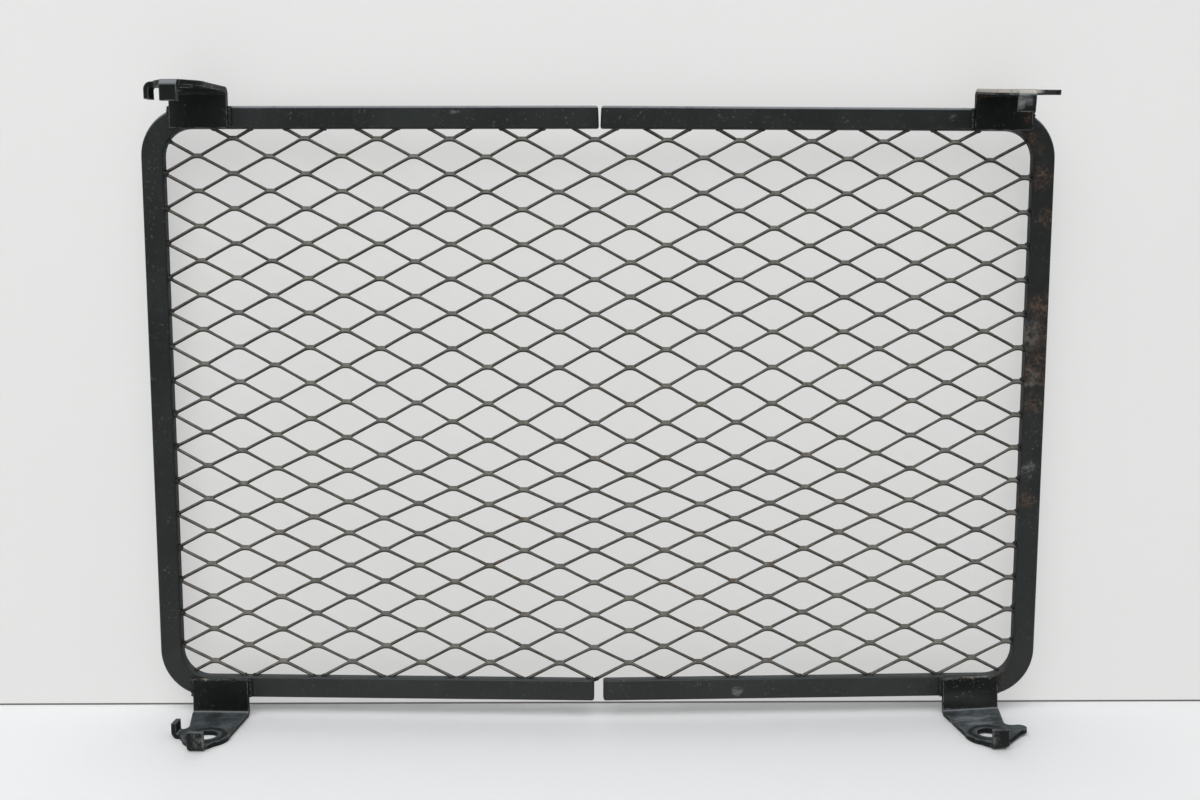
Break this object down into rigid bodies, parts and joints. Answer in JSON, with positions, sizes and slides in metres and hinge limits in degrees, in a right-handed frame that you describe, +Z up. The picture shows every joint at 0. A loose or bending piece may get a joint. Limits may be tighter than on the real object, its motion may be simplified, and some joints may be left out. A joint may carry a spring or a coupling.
{
  "type": "motorcycle radiator guard",
  "caption": "Black steel radiator guard: expanded mesh in a split frame of flat bar, with folded mounting brackets at the corners.",
  "frame": {"origin": "middle of the guard's width and depth, at the foot of the lower bracket flanges", "axes": "+X to the right as seen from the front, +Y from the front (the side the brackets point to) to the back, +Z up"},
  "size_m": [0.3798, 0.0483, 0.2674],
  "materials": {
    "frame_paint": "satin black paint, scuffed, with rust and dust",
    "mesh_paint": "worn black paint with brown rust on the strands",
    "bracket_paint": "satin black paint, scuffed to grey on the flanges",
    "weld": "painted weld bead with rust"
  },
  "bodies": {
    "root": {"frame_left": "frame_paint", "frame_right": "frame_paint", "mesh": "mesh_paint", "bracket_top_left": "bracket_paint", "bracket_top_right": "bracket_paint", "bracket_bottom_left": "bracket_paint", "bracket_bottom_right": "bracket_paint", "welds_top_left": "weld", "welds_top_right": "weld", "welds_bottom_left": "weld", "welds_bottom_right": "weld", "mesh_tacks_left": "weld", "mesh_tacks_right": "weld", "mesh_tacks_top": "weld", "mesh_tacks_bottom": "weld"}
  },
  "joints": []
}
